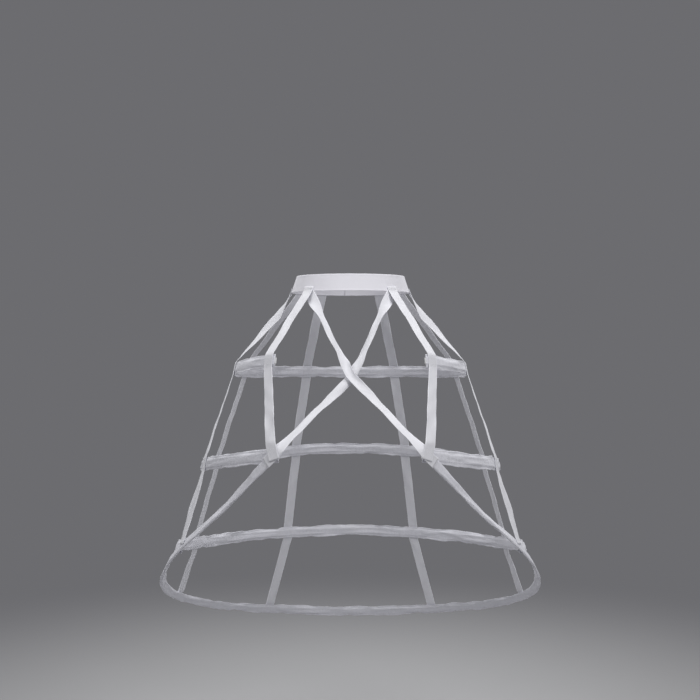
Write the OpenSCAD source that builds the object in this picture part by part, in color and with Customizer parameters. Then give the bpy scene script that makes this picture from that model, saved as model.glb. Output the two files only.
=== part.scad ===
// White hooped skirt cage: an elastic waistband, ten tapes, three hoops and a rim that dips at the back.
// The origin is the middle of the waistband, +Z is up, and the open front faces -Y.
// Angles are in degrees from the centre back: 0 is the back, 90 a side, 180 the front. Left is -X.

/* [Waistband] */
// Inside width of the waist at the middle of the band
waist_w = 234; // [190:1:300]
// Inside depth of the waist, front to back
waist_d = 178; // [150:1:240]
// Height of the elastic band
band_h = 35; // [28:1:50]
// Thickness of the elastic
band_t = 1.6; // [1:0.1:3]
// How far the band's lower edge stands out beyond its middle
band_flare = 5.8; // [0:0.1:8]
// Overlap of the band's two ends at the centre back
band_lap = 25; // [15:1:40]

/* [Tapes] */
// Width of every tape
tape_w = 22; // [16:0.5:26]
// Thickness of every tape
tape_t = 1; // [0.6:0.1:1.4]
// Length of each tape that is sewn onto the waistband
tape_sewn = 9; // [6:1:26]
// Place of the front and cross tapes on the waistband
front_tape_waist = 137; // [130:0.5:142]
// Place of the side tapes on the waistband
side_tape_waist = 84; // [78:0.5:92]
// Place of the side tapes on the upper hoop
side_tape_upper = 100.5; // [96:0.5:104]
// Place of the side tapes on the middle hoop
side_tape_middle = 110; // [106:0.5:113]
// Turn of the side tapes towards the front, just below the waistband
side_tape_twist = 50; // [0:1:60]
// Turn of the side tapes towards the front, midway between the middle hoop and the rim
side_leg_twist = 20; // [0:1:40]
// Turn of the cross tapes towards each other, between the waistband and their crossing
cross_tape_twist = 50; // [0:1:65]
// Turn of the cross tapes upwards, between their crossing and the rim's front ends
cross_leg_twist = 35; // [0:1:65]
// Place of the side back tapes on the waistband
side_back_waist = 60; // [55:0.5:65]
// Place of the side back tapes on the three hoops and the rim
side_back_hoops = 70; // [66:0.5:74]
// Place of the back tapes on the waistband
back_tape_waist = 30; // [25:0.5:36]
// Place of the back tapes on the three hoops
back_tape_hoops = 24.5; // [20:0.5:30]
// Place of the back tapes on the rim
back_tape_rim = 28.5; // [24:0.5:34]
// Drop of the place where the cross tapes meet, below the middle of the waistband
cross_drop = 189; // [160:1:215]

/* [Casings] */
// Height of the fabric casings
casing_h = 26; // [22:0.5:32]
// Height of the rim's casing at its sides and on its front legs, where it is drawn in
drawn_h = 18; // [15:0.5:26]
// Thickness of the casing fabric
fabric_t = 0.6; // [0.4:0.1:1]
// Rise and fall of the casings' gathered edges
pucker = 0.7; // [0:0.1:1.2]

/* [Bones] */
// Width of the flat hoop bones
bone_w = 10; // [7:0.5:13]
// Thickness of the flat hoop bones
bone_t = 1.2; // [0.8:0.1:1.8]
// Wall of the moulded bone tips
tip_wall = 0.6; // [0.4:0.1:1]
// Length of the bone tips
tip_l = 14; // [10:1:20]
// How far a tip looks out of the end of its casing
tip_proud = 2; // [1:0.5:4]

/* [Upper hoop] */
// Radius of the upper hoop
upper_r = 240; // [225:1:255]
// Drop of the upper hoop at the back
upper_back_drop = 186; // [170:1:205]
// Drop of the upper hoop at the sides
upper_side_drop = 179; // [165:1:195]
// Drop of the upper hoop at its front ends
upper_end_drop = 159; // [145:1:175]
// Place of the upper hoop's front ends, under the front tapes
upper_end = 139.5; // [135:0.5:144]

/* [Middle hoop] */
// Radius of the middle hoop
middle_r = 308; // [295:1:320]
// Drop of the middle hoop at the back
middle_back_drop = 371; // [355:1:385]
// Drop of the middle hoop at the sides
middle_side_drop = 377; // [362:1:390]
// Drop of the middle hoop at its front ends
middle_end_drop = 331; // [316:1:345]
// Place of the middle hoop's front ends
middle_end = 153.5; // [149:0.5:157]

/* [Lower hoop] */
// Radius of the lower hoop at the back
lower_r = 362; // [352:1:372]
// Drop of the lower hoop at the back
lower_back_drop = 576; // [560:1:592]
// Drop of the lower hoop where the side back tapes cross it
lower_side_drop = 564; // [552:1:580]

/* [Rim] */
// Radius of the rim at the back
rim_back_r = 420; // [405:1:440]
// Drop of the rim at the back
rim_back_drop = 788; // [765:1:815]
// Radius of the rim at the sides
rim_side_r = 389; // [380:1:402]
// Drop of the rim at the sides
rim_side_drop = 607; // [598:1:626]
// Place where the lower hoop ends on the rim
lower_end = 115; // [110:0.5:119]
// Radius of the rim where the lower hoop ends on it
lower_end_r = 363; // [353:1:372]
// Drop of the rim where the lower hoop ends on it
lower_end_drop = 520; // [508:1:532]
// How far the rim's front legs bow out from a straight line
leg_bow = 6; // [5:0.5:9]
// How far the rim's front legs sag below a straight line
leg_sag = 11; // [6:0.5:16]
// Turn of the rim's casing on its front legs, so that its face looks upwards
leg_lean = 50; // [20:1:60]
// Outward lean of the rim's casing at the back
rim_lean = 20; // [8:1:26]
// Outward lean of the rim's casing at the sides
rim_side_lean = 40; // [10:1:50]
// Outward lean of the rim's casing where the lower hoop ends on it
lower_end_lean = 28; // [4:1:40]

/* [Hidden] */
// Signs of the two sides, and angles of the back and the sides; the rim is widest a little past the side
LEFT = -1;
RIGHT = 1;
BACK = 0;
SIDE = 90;
RIM_SIDE = 94;
FRONT_WAY = [0, -1, 0];
SIDE_WAY = [1, 0, 0];
// Clearance between a bone, its tips and its casing
fit = 0.2;
// Clearance between layers that are sewn together
sewn = 0.3;
// Clearance between a hoop's end and the rim, which turn against each other where they meet
crossing = 0.8;
// Lean of each hoop's casing, lower edge outwards
upper_lean = 12;
middle_lean = 9;
lower_lean = 4;
// Length of casing past the edge of the front tape at the upper hoop's ends
upper_tab = 4;
// Length of casing past the middle of the joint at the front ends of the hoops and the rim
upper_past = tape_w / 2 + upper_tab;
middle_past = 6;
lower_past = -4;
rim_past = 8;
// Length over which a hoop keeps to one radius before its end on the rim
hoop_even = 34;
// Length over which the rim stays flat on the end of the middle hoop
rim_flat = 34;
// Length of a tape's end past the middle of the rim; a side tape ends short of it
tape_past = 9;
side_tape_past = -3;
// Length over which a cross tape stays flat past the middle of the joint at the rim's front end
cross_flat = 16;
// Places of the turns in a cross tape and in a side tape, as shares of its way from one joint to the next
cross_turn_shares = [1 / 2, 3 / 4];
side_turn_share = 1 / 3;
side_leg_share = 1 / 2;
// Angle between two sections of a hoop, and length between two sections of a tape
arc_step = 5;
tape_step = 22;
// Angle used to find a hoop's direction
probe = 0.5;
// Turn between neighbouring puckers along a casing
pucker_turn = 112;
// Number of sections round the waistband, and angle over which its outer end lifts over the inner one
band_sections = 72;
lap_ramp = 16;

tip_w = bone_w + 2 * (tip_wall + fit / 2);
tip_t = bone_t + 2 * (tip_wall + fit / 2);
channel_w = tip_w + 2 * fit;
channel_t = tip_t + 2 * fit;
casing_t = channel_t + 2 * fabric_t;
seam_t = 2 * fabric_t;
// Distance from the middle of a casing to the middle of a tape, or of another casing, that lies on it
tape_seat = casing_t / 2 + sewn + tape_t / 2;
casing_seat = casing_t + crossing;
// Distance between the middles of two tapes that lie on each other
tape_layer = tape_t + sewn;
band_slope = band_flare / (band_h / 2);
lap_angle = band_lap / (waist_w / 2) * 180 / PI;

// Vectors
function unit(v) = v / norm(v);
function mix(a, b, share) = a + (b - a) * share;
function smooth(share) = let (s = min(1, max(0, share))) s * s * (3 - 2 * s);
function square_to(v, axis) = unit(v - axis * (axis * v));

// Hoops: a hoop is a list of knots [angle, radius, height, lean, height of its casing], on both sides alike
function knot_slope(hoop, i) =
    i == 0 ? 0 * hoop[0]
    : let (before = (hoop[i] - hoop[i - 1]) / (hoop[i][0] - hoop[i - 1][0]))
        i == len(hoop) - 1 ? before
        : let (
            after = (hoop[i + 1] - hoop[i]) / (hoop[i + 1][0] - hoop[i][0]),
            share = (hoop[i][0] - hoop[i - 1][0]) / (hoop[i + 1][0] - hoop[i - 1][0])
        )
        mix(before, after, share);
function knot_span(hoop, angle, i = 0) =
    i >= len(hoop) - 2 || angle <= hoop[i + 1][0] ? i : knot_span(hoop, angle, i + 1);
function knot_at(hoop, angle) =
    let (
        i = knot_span(hoop, abs(angle)),
        span = hoop[i + 1][0] - hoop[i][0],
        s = (abs(angle) - hoop[i][0]) / span
    )
    hoop[i] * (1 - 3 * s * s + 2 * s * s * s)
    + knot_slope(hoop, i) * span * (s - 2 * s * s + s * s * s)
    + hoop[i + 1] * (3 * s * s - 2 * s * s * s)
    + knot_slope(hoop, i + 1) * span * (s * s * s - s * s);
function hoop_point(hoop, angle) =
    let (knot = knot_at(hoop, angle))
    [knot[1] * sin(angle), knot[1] * cos(angle), knot[2]];

// The frame of a strip: its middle, the way it runs, the way its face looks out, and its upper edge's way
function hoop_frame(hoop, angle) =
    let (
        lean = knot_at(hoop, angle)[3],
        along = unit(hoop_point(hoop, angle + probe) - hoop_point(hoop, angle - probe)),
        out = square_to([sin(angle) * cos(lean), cos(angle) * cos(lean), sin(lean)], along)
    )
    [hoop_point(hoop, angle), along, out, cross(along, out)];
function in_frame(frame, out, up) = frame[0] + frame[2] * out + frame[3] * up;
// Angle that a length along a hoop takes up at a place
function degrees_of(hoop, angle, length) =
    length * 2 * probe / norm(hoop_point(hoop, angle + probe) - hoop_point(hoop, angle - probe));

// The last two knots of a hoop that comes from a knot and is sewn to the inside of the rim at an angle
function ends_on_rim(from, rim, angle) =
    let (
        frame = hoop_frame(rim, angle),
        place = in_frame(frame, -casing_seat, 0),
        ray = [sin(angle), cos(angle), 0],
        radius = norm([place.x, place.y]),
        end = [atan2(place.x, place.y), radius, place.z, atan2(frame[2].z, frame[2] * ray), casing_h],
        before = mix(end, from, hoop_even / (radius * (end[0] - from[0]) * PI / 180)),
        inside_rim = knot_at(rim, before[0])[1] - casing_seat
    )
    [[before[0], min(radius, inside_rim), before[2], end[3], casing_h], end];

function knot_point(knot) = [knot[1] * sin(knot[0]), knot[1] * cos(knot[0]), knot[2]];
rim_start = [middle_end, middle_r + casing_seat, -middle_end_drop, middle_lean, drawn_h];
rim_low = [lower_end, lower_end_r, -lower_end_drop, lower_end_lean, drawn_h];
leg_middle = (knot_point(rim_start) + knot_point(rim_low)) / 2;
leg_knot = [
    atan2(leg_middle.x, leg_middle.y),
    max(norm([leg_middle.x, leg_middle.y]), rim_start[1]) + leg_bow,
    leg_middle.z - leg_sag,
    leg_lean,
    drawn_h
];
leg_share = rim_flat / norm(knot_point(leg_knot) - knot_point(rim_start));
leg_top = mix(rim_start, leg_knot, leg_share);
RIM = [
    [BACK, rim_back_r, -rim_back_drop, rim_lean, casing_h],
    [RIM_SIDE, rim_side_r, -rim_side_drop, rim_side_lean, drawn_h],
    rim_low,
    leg_knot,
    [leg_top[0], leg_top[1], leg_top[2], middle_lean, drawn_h],
    rim_start
];
UPPER = [
    [BACK, upper_r, -upper_back_drop, upper_lean, casing_h],
    [SIDE, upper_r, -upper_side_drop, upper_lean, casing_h],
    [upper_end, upper_r, -upper_end_drop, upper_lean, casing_h]
];
middle_side = [SIDE, middle_r, -middle_side_drop, middle_lean, casing_h];
MIDDLE = [
    [BACK, middle_r, -middle_back_drop, middle_lean, casing_h],
    middle_side,
    each ends_on_rim(middle_side, RIM, middle_end)
];
lower_side = [side_back_hoops, lower_r, -lower_side_drop, lower_lean, casing_h];
LOWER = [
    [BACK, lower_r, -lower_back_drop, lower_lean, casing_h],
    lower_side,
    each ends_on_rim(lower_side, RIM, lower_end)
];

// Angle at which each hoop's casing ends
function casing_end(hoop, past) =
    let (last = hoop[len(hoop) - 1][0])
    last + degrees_of(hoop, last, past);
UPPER_END = casing_end(UPPER, upper_past);
MIDDLE_END = casing_end(MIDDLE, middle_past);
LOWER_END = casing_end(LOWER, lower_past);
RIM_END = casing_end(RIM, rim_past);

// Two triangles between points a and b of one section, which starts at a number, and of the next one.
// Both faces of a strip are split from the upper edge to the lower, so that a twist keeps the thickness.
function wall(start, a, b, count, upwards) =
    upwards
    ? [[start + a, start + count + a, start + b], [start + b, start + count + a, start + count + b]]
    : [[start + a, start + count + a, start + count + b], [start + a, start + count + b, start + b]];

// Strip: sections of equal point counts, joined one after the other, with flat ends
module strip(sections) {
    count = len(sections[0]);
    last = len(sections) - 1;
    sides = [
        for (i = [0 : last - 1], j = [0 : count - 1])
            each wall(i * count, j, (j + 1) % count, count, j >= count / 2)
    ];
    first_end = [for (j = [0 : count - 1]) j];
    last_end = [for (j = [count - 1 : -1 : 0]) last * count + j];
    polyhedron([for (s = sections) each s], concat(sides, [first_end, last_end]), convexity = 6);
}

// Hollow strip: each section is an outline of eight points followed by the four corners of its channel
module sleeve(sections) {
    outer = 8;
    inner = 4;
    count = outer + inner;
    last = len(sections) - 1;
    outside = [
        for (i = [0 : last - 1], j = [0 : outer - 1])
            each wall(i * count, j, (j + 1) % outer, count, j >= outer / 2)
    ];
    inside = [
        for (i = [0 : last - 1], j = [0 : inner - 1])
            each wall(i * count, outer + (j + 1) % inner, outer + j, count, j < inner / 2)
    ];
    mouth = [
        for (j = [0 : inner - 1])
            let (
                a = 2 * j,
                b = a + 1,
                c = (a + 2) % outer,
                here = outer + j,
                next = outer + (j + 1) % inner
            )
            each [[a, b, here], [b, c, next, here]]
    ];
    far_mouth = [for (face = mouth) [for (j = [len(face) - 1 : -1 : 0]) last * count + face[j]]];
    polyhedron([for (s = sections) each s], concat(outside, inside, mouth, far_mouth), convexity = 8);
}

function box_section(frame, thickness, height) = [
    in_frame(frame, thickness / 2, height / 2),
    in_frame(frame, -thickness / 2, height / 2),
    in_frame(frame, -thickness / 2, -height / 2),
    in_frame(frame, thickness / 2, -height / 2)
];
function casing_section(frame, top, bottom) = [
    in_frame(frame, seam_t / 2, top),
    in_frame(frame, -seam_t / 2, top),
    in_frame(frame, -casing_t / 2, channel_w / 2),
    in_frame(frame, -casing_t / 2, -channel_w / 2),
    in_frame(frame, -seam_t / 2, -bottom),
    in_frame(frame, seam_t / 2, -bottom),
    in_frame(frame, casing_t / 2, -channel_w / 2),
    in_frame(frame, casing_t / 2, channel_w / 2)
];
function channel_section(frame) = [
    in_frame(frame, -channel_t / 2, channel_w / 2),
    in_frame(frame, -channel_t / 2, -channel_w / 2),
    in_frame(frame, channel_t / 2, -channel_w / 2),
    in_frame(frame, channel_t / 2, channel_w / 2)
];

// Hoop pieces: casing, bone and tips share the sections at which the tips begin
function tip_start(hoop, end) = end - degrees_of(hoop, end, tip_l - tip_proud);
function bone_end(hoop, end) = end + degrees_of(hoop, end, tip_proud - tip_wall - fit);
function hoop_angles(tips, end) =
    let (count = ceil(2 * tips / arc_step))
    concat([-end], [for (i = [0 : count]) tips * (2 * i / count - 1)], [end]);

module casing(hoop, end) {
    angles = hoop_angles(tip_start(hoop, end), end);
    sleeve([
        for (i = [0 : len(angles) - 1])
            let (
                frame = hoop_frame(hoop, angles[i]),
                half_h = knot_at(hoop, angles[i])[4] / 2,
                top = half_h + pucker * sin(i * pucker_turn),
                bottom = half_h + pucker * cos(i * pucker_turn)
            )
            concat(casing_section(frame, top, bottom), channel_section(frame))
    ]);
}

module bone(hoop, end) {
    angles = hoop_angles(tip_start(hoop, end), bone_end(hoop, end));
    strip([for (angle = angles) box_section(hoop_frame(hoop, angle), bone_t, bone_w)]);
}

module bone_tip(hoop, end, side) {
    start = hoop_frame(hoop, side * tip_start(hoop, end));
    finish = hoop_frame(hoop, side * (end + degrees_of(hoop, end, tip_proud)));
    stop = hoop_frame(hoop, side * bone_end(hoop, end));
    mouth = [start[0] - start[1] * side * tip_wall, start[1], start[2], start[3]];
    difference() {
        strip([for (frame = [start, finish]) box_section(frame, tip_t, side * tip_w)]);
        strip([for (frame = [mouth, stop]) box_section(frame, bone_t + fit, side * (bone_w + fit))]);
    }
}

// Tapes: a path is a list of stations [middle, the way the face looks out]
function between(path, i) =
    let (count = max(1, round(norm(path[i + 1][0] - path[i][0]) / tape_step)))
    [for (j = [0 : count - 1]) [
        mix(path[i][0], path[i + 1][0], j / count),
        unit(mix(path[i][1], path[i + 1][1], j / count))
    ]];
function fine_path(path) =
    let (last = len(path) - 1)
    concat([for (i = [0 : last - 1]) each between(path, i)], [path[last]]);
function tape_frame(path, i) =
    let (
        last = len(path) - 1,
        way_in = i == 0 ? [0, 0, 0] : unit(path[i][0] - path[i - 1][0]),
        way_out = i == last ? [0, 0, 0] : unit(path[i + 1][0] - path[i][0]),
        along = unit(way_in + way_out),
        out = square_to(path[i][1], along)
    )
    [path[i][0], along, out, cross(along, out)];

module tape(path) {
    stations = fine_path(path);
    strip([for (i = [0 : len(stations) - 1]) box_section(tape_frame(stations, i), tape_t, tape_w)]);
}

// Stations where a tape passes over a casing, from its upper edge to its lower one
function over_casing(hoop, angle) =
    let (frame = hoop_frame(hoop, angle))
    [for (edge = [1, -1]) [in_frame(frame, tape_seat, edge * casing_h / 2), frame[2]]];
// Stations where a tape comes from a point and ends on a casing, a length past its middle
function onto_casing(hoop, angle, from, layer, past) =
    let (
        frame = hoop_frame(hoop, angle),
        middle = in_frame(frame, tape_seat + layer * tape_layer, 0),
        way = square_to(middle - from, frame[2])
    )
    [
        [middle - way * (casing_h + layer * tape_w) / 2, frame[2]],
        [middle + way * past, frame[2]]
    ];

// The waistband's outer face, at an angle and a height
function band_point(angle, z, out) =
    let (spread = out - z * band_slope)
    [(waist_w / 2 + spread) * sin(angle), (waist_d / 2 + spread) * cos(angle), z];
function band_out(angle) =
    unit([sin(angle) / waist_w, cos(angle) / waist_d, 0]) + [0, 0, band_slope];
function on_band(angle, layer) =
    let (out = unit(band_out(angle)), seat = sewn + tape_t / 2 + layer * tape_layer)
    [
        for (z = [tape_sewn - band_h / 2, -band_h / 2])
            [band_point(angle, z, band_t) + out * seat, out]
    ];

// Cross tapes: they lie flat on the rim's front end, leave it there and run in one plane up to the band
function cross_foot(side) =
    let (
        frame = hoop_frame(RIM, side * middle_end),
        low_frame = hoop_frame(RIM, side * (middle_end - degrees_of(RIM, middle_end, tape_w))),
        middle = in_frame(frame, tape_seat, 0),
        way = square_to([-middle.x, 0, -cross_drop - middle.z], frame[2])
    )
    [
        [middle + way * cross_flat, frame[2]],
        [middle, frame[2]],
        [in_frame(low_frame, tape_seat, 0), low_frame[2]]
    ];
cross_top = on_band(front_tape_waist, 0)[1][0];
cross_end = cross_foot(RIGHT)[0][0];
cross_share = (cross_drop + cross_top.z) / (cross_top.z - cross_end.z);
cross_middle = [0, mix(cross_top.y, cross_end.y, cross_share), -cross_drop];
cross_out = unit([0, cross_end.z - cross_top.z, cross_top.y - cross_end.y]);

// The left cross tape lies over the right one, and the two stay flat where they meet
function cross_path(side) =
    let (
        lift = cross_out * tape_layer / 2 * -side,
        top = on_band(side * front_tape_waist, 0),
        foot = cross_foot(-side),
        way_up = unit(top[1][0] - cross_middle),
        way_down = unit(foot[0][0] - cross_middle),
        turned = cross_out * cos(cross_tape_twist) + SIDE_WAY * -side * sin(cross_tape_twist),
        upwards = cross(way_down, cross_out) * side,
        leg_turned = cross_out * cos(cross_leg_twist) + upwards * sin(cross_leg_twist),
        meeting = [for (way = [way_up, [0, 0, 0], way_down]) cross_middle + lift + way * tape_w]
    )
    concat(
        top,
        [for (share = cross_turn_shares) [mix(top[1][0], meeting[0], share), turned]],
        [for (point = meeting) [point, cross_out]],
        [for (share = cross_turn_shares) [mix(meeting[2], foot[0][0], share), leg_turned]],
        foot
    );

function side_path(side) =
    let (
        top = on_band(side * side_tape_waist, 0),
        upper = over_casing(UPPER, side * side_tape_upper),
        middle = over_casing(MIDDLE, side * side_tape_middle),
        flat = unit(mix(top[1][1], upper[0][1], side_turn_share)),
        turned = flat * cos(side_tape_twist) + FRONT_WAY * sin(side_tape_twist),
        tuck = tape_w / 2 * sin(side_tape_twist),
        foot = onto_casing(RIM, side * lower_end, middle[1][0], 0, side_tape_past),
        leg_flat = unit(mix(middle[1][1], foot[0][1], side_leg_share)),
        leg_turned = leg_flat * cos(side_leg_twist) + FRONT_WAY * sin(side_leg_twist)
    )
    concat(
        top,
        [[mix(top[1][0], upper[0][0], side_turn_share) - flat * tuck, turned]],
        upper,
        middle,
        [[mix(middle[1][0], foot[0][0], side_leg_share), leg_turned]],
        foot
    );

function front_path(side) =
    let (upper = over_casing(UPPER, side * upper_end))
    concat(
        on_band(side * front_tape_waist, 1),
        upper,
        onto_casing(RIM, side * middle_end, upper[1][0], 1, tape_past)
    );

function hanging_path(side, waist, hoops, at_rim) =
    let (lower = over_casing(LOWER, side * hoops))
    concat(
        on_band(side * waist, 0),
        over_casing(UPPER, side * hoops),
        over_casing(MIDDLE, side * hoops),
        lower,
        onto_casing(RIM, side * at_rim, lower[1][0], 0, tape_past)
    );

// Waistband
module waistband() {
    color("ghostwhite") strip([
        for (i = [0 : band_sections])
            let (
                angle = (360 + lap_angle) * i / band_sections - lap_angle / 2,
                lift = (band_t + sewn) * smooth((angle - 360 + lap_angle / 2 + lap_ramp) / lap_ramp)
            )
            [
                for (corner = [[0, 1], [0, -1], [band_t, -1], [band_t, 1]])
                    band_point(angle, corner[1] * band_h / 2, corner[0] + lift)
            ]
    ]);
}

// Tapes
module front_tape(side) {
    color("ghostwhite") tape(front_path(side));
}
module cross_tape(side) {
    color("ghostwhite") tape(cross_path(side));
}
module side_tape(side) {
    color("ghostwhite") tape(side_path(side));
}
module side_back_tape(side) {
    color("ghostwhite") tape(hanging_path(side, side_back_waist, side_back_hoops, side_back_hoops));
}
module back_tape(side) {
    color("ghostwhite") tape(hanging_path(side, back_tape_waist, back_tape_hoops, back_tape_rim));
}

// Casings
module upper_hoop_casing() {
    color("lavender") casing(UPPER, UPPER_END);
}
module middle_hoop_casing() {
    color("lavender") casing(MIDDLE, MIDDLE_END);
}
module lower_hoop_casing() {
    color("lavender") casing(LOWER, LOWER_END);
}
module rim_casing() {
    color("lavender") casing(RIM, RIM_END);
}

// Bones
module upper_hoop_bone() {
    color("gainsboro") bone(UPPER, UPPER_END);
}
module middle_hoop_bone() {
    color("gainsboro") bone(MIDDLE, MIDDLE_END);
}
module lower_hoop_bone() {
    color("gainsboro") bone(LOWER, LOWER_END);
}
module rim_bone() {
    color("gainsboro") bone(RIM, RIM_END);
}

// Bone tips
module upper_hoop_tip(side) {
    color("white") bone_tip(UPPER, UPPER_END, side);
}
module middle_hoop_tip(side) {
    color("white") bone_tip(MIDDLE, MIDDLE_END, side);
}
module lower_hoop_tip(side) {
    color("white") bone_tip(LOWER, LOWER_END, side);
}
module rim_tip(side) {
    color("white") bone_tip(RIM, RIM_END, side);
}

waistband();
front_tape(LEFT);  // front_tape_left
front_tape(RIGHT);  // front_tape_right
cross_tape(LEFT);  // cross_tape_left
cross_tape(RIGHT);  // cross_tape_right
side_tape(LEFT);  // side_tape_left
side_tape(RIGHT);  // side_tape_right
side_back_tape(LEFT);  // side_back_tape_left
side_back_tape(RIGHT);  // side_back_tape_right
back_tape(LEFT);  // back_tape_left
back_tape(RIGHT);  // back_tape_right
upper_hoop_casing();
middle_hoop_casing();
lower_hoop_casing();
rim_casing();
upper_hoop_bone();
middle_hoop_bone();
lower_hoop_bone();
rim_bone();
upper_hoop_tip(LEFT);  // upper_hoop_tip_left
upper_hoop_tip(RIGHT);  // upper_hoop_tip_right
middle_hoop_tip(LEFT);  // middle_hoop_tip_left
middle_hoop_tip(RIGHT);  // middle_hoop_tip_right
lower_hoop_tip(LEFT);  // lower_hoop_tip_left
lower_hoop_tip(RIGHT);  // lower_hoop_tip_right
rim_tip(LEFT);  // rim_tip_left
rim_tip(RIGHT);  // rim_tip_right
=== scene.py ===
"""White crinoline cage: woven tapes, gathered casings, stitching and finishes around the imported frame."""
import math
from collections import namedtuple

import bpy
import numpy as np
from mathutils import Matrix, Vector


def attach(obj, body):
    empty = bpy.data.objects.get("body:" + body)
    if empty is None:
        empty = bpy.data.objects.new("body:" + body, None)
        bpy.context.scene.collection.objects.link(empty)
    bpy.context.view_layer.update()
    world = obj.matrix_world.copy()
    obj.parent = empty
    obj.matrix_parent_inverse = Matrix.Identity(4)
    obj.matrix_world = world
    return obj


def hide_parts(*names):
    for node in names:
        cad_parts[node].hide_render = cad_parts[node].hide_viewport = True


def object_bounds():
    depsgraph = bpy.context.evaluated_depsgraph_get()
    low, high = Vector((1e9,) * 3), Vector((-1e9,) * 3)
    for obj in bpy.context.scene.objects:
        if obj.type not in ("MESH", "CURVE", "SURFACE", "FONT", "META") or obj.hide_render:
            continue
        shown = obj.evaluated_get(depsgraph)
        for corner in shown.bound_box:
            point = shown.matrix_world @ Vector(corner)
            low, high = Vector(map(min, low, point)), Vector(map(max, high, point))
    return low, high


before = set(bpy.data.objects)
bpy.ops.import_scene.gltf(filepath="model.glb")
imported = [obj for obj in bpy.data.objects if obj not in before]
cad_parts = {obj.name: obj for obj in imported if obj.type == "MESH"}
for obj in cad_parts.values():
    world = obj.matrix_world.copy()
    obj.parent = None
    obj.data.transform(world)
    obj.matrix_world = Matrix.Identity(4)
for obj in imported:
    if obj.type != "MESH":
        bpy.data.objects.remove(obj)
CAD_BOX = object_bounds()

bl_info = {
    "name": "Crinoline Cage",
    "version": (1, 0, 0),
    "blender": (4, 5, 0),
    "location": "View3D > Sidebar > Crinoline",
    "description": "Dresses a packed crinoline cage in elastic, tape, gathered casings and stitching",
    "category": "Object",
}

# The cage's driving sizes, as its frame has them: metres, and degrees from the centre back
WAIST_WIDTH = 0.234
WAIST_DEPTH = 0.178
BAND_HEIGHT = 0.035
BAND_THICKNESS = 0.0016
BAND_FLARE = 0.0058
BAND_LAP = 0.025
TAPE_WIDTH = 0.022
TAPE_THICKNESS = 0.001
TAPE_SEWN = 0.009
FRONT_TAPE_WAIST = 137
SIDE_TAPE_WAIST = 84
SIDE_TAPE_UPPER = 100.5
SIDE_TAPE_MIDDLE = 110
SIDE_TAPE_TWIST = 50
SIDE_LEG_TWIST = 20
CROSS_TAPE_TWIST = 50
CROSS_LEG_TWIST = 35
SIDE_BACK_WAIST = 60
SIDE_BACK_HOOPS = 70
BACK_TAPE_WAIST = 30
BACK_TAPE_HOOPS = 24.5
BACK_TAPE_RIM = 28.5
CROSS_DROP = 0.189
CASING_HEIGHT = 0.026
DRAWN_HEIGHT = 0.018
FABRIC_THICKNESS = 0.0006
BONE_WIDTH = 0.010
BONE_THICKNESS = 0.0012
TIP_WALL = 0.0006
UPPER_RADIUS = 0.240
UPPER_BACK_DROP = 0.186
UPPER_SIDE_DROP = 0.179
UPPER_END_DROP = 0.159
UPPER_END = 139.5
MIDDLE_RADIUS = 0.308
MIDDLE_BACK_DROP = 0.371
MIDDLE_SIDE_DROP = 0.377
MIDDLE_END_DROP = 0.331
MIDDLE_END = 153.5
LOWER_RADIUS = 0.362
LOWER_BACK_DROP = 0.576
LOWER_SIDE_DROP = 0.564
RIM_BACK_RADIUS = 0.420
RIM_BACK_DROP = 0.788
RIM_SIDE_RADIUS = 0.389
RIM_SIDE_DROP = 0.607
LOWER_END = 115
LOWER_END_RADIUS = 0.363
LOWER_END_DROP = 0.520
LEG_BOW = 0.006
LEG_SAG = 0.011
LEG_LEAN = 50
RIM_LEAN = 20
RIM_SIDE_LEAN = 40
LOWER_END_LEAN = 28

# Smaller sizes that the frame works with
BACK = 0
SIDE = 90
RIM_SIDE = 94
FIT = 0.0002
SEWN_GAP = 0.0003
CROSSING_GAP = 0.0008
UPPER_LEAN = 12
MIDDLE_LEAN = 9
LOWER_LEAN = 4
UPPER_HEM = 0.004
UPPER_PAST = TAPE_WIDTH / 2 + UPPER_HEM
MIDDLE_PAST = 0.006
LOWER_PAST = -0.004
RIM_PAST = 0.008
HOOP_EVEN = 0.034
RIM_FLAT = 0.034
TAPE_PAST = 0.009
SIDE_TAPE_PAST = -0.003
CROSS_FLAT = 0.016
SIDE_TURN_SHARE = 1 / 3
SIDE_LEG_SHARE = 1 / 2
PROBE = 0.5
LAP_RAMP = 16
LEFT = -1
RIGHT = 1
SIDES = {"left": LEFT, "right": RIGHT}

TIP_THICKNESS = BONE_THICKNESS + 2 * (TIP_WALL + FIT / 2)
CHANNEL_WIDTH = BONE_WIDTH + 2 * (TIP_WALL + FIT / 2) + 2 * FIT
CHANNEL_THICKNESS = TIP_THICKNESS + 2 * FIT
CASING_THICKNESS = CHANNEL_THICKNESS + 2 * FABRIC_THICKNESS
TAPE_SEAT = CASING_THICKNESS / 2 + SEWN_GAP + TAPE_THICKNESS / 2
CASING_SEAT = CASING_THICKNESS + CROSSING_GAP
TAPE_LAYER = TAPE_THICKNESS + SEWN_GAP
BAND_SLOPE = BAND_FLARE / (BAND_HEIGHT / 2)
LAP_ANGLE = math.degrees(BAND_LAP / (WAIST_WIDTH / 2))

# How finely cloth is modelled: points to measure a hoop by, length between two sections, points round one
FINE_POINTS = 20000
RAIL_STEP = 0.003
CASING_RING = 48
TAPE_RING = 24
BAND_RING = 48
# Distance under which two points of a mesh become one
MERGE_GAP = 1e-6
# Radius over which a tape's bends and turns are eased, and how many of it the easing reaches
TAPE_EASE = 0.003
TURN_EASE = 0.006
EASE_REACH = 3
# Shares of a cross tape's two legs between which it is turned, a longer stretch than in the frame
CROSS_TURN_SHARES = (1 / 3, 5 / 6)
# Share of its upper leg that stays flat below the waistband
CROSS_HELD_SHARE = 1 / 16
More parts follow.
